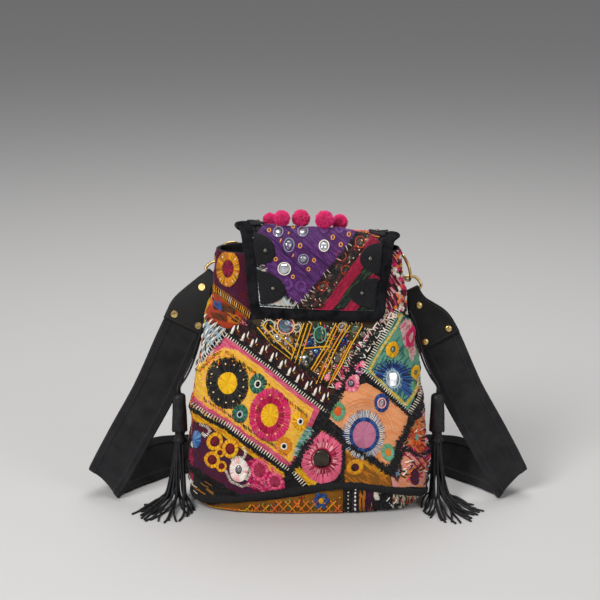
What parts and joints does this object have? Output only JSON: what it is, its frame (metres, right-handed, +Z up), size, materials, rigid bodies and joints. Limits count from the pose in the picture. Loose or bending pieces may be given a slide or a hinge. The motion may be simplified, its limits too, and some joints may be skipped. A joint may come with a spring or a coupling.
{
  "type": "patchwork potli bag with flap, shoulder strap and tassels",
  "caption": "Soft patchwork pouch bag standing on its base, with a black-bound front flap, pink pompoms, brass rings, a wide black shoulder strap fallen to both sides and a black tassel on each side.",
  "frame": {"origin": "middle of the flat bottom of the base panel, on the surface that the bag stands on", "axes": "+Z up, the flap and the front panel face -Y, +X to the right as seen from the front"},
  "size_m": [0.451, 0.1826, 0.3013],
  "materials": {
    "patchwork": "matte",
    "canvas": "matte",
    "velvet": "matte",
    "leather": "matte",
    "yarn": "matte",
    "brass": "polished",
    "cord": "matte"
  },
  "bodies": {
    "root": {"front_panel": "patchwork", "side_panel_left": "patchwork", "side_panel_right": "patchwork", "back_panel": "canvas", "base_panel": "patchwork", "base_piping": "canvas", "flap_panel": "patchwork", "flap_binding": "velvet", "scallop_lower_left": "velvet", "scallop_stud_lower_left": "brass", "scallop_upper_left": "velvet", "scallop_stud_upper_left": "brass", "scallop_crown_left": "velvet", "scallop_stud_crown_left": "brass", "scallop_lower_right": "velvet", "scallop_stud_lower_right": "brass", "scallop_upper_right": "velvet", "scallop_stud_upper_right": "brass", "scallop_crown_right": "velvet", "scallop_stud_crown_right": "brass", "pompom_1": "yarn", "pompom_2": "yarn", "pompom_3": "yarn", "pompom_4": "yarn", "pompom_5": "yarn", "ring_left": "brass", "ring_tab_left": "canvas", "d_ring_left": "brass", "ring_right": "brass", "ring_tab_right": "canvas", "d_ring_right": "brass", "strap": "canvas", "chape_right": "leather", "rivet_1_right": "brass", "rivet_2_right": "brass", "rivet_3_right": "brass", "chape_left": "leather", "rivet_1_left": "brass", "rivet_2_left": "brass", "rivet_3_left": "brass", "tassel_cord_left": "cord", "tassel_left": "cord", "tassel_cord_right": "cord", "tassel_right": "cord"}
  },
  "joints": []
}
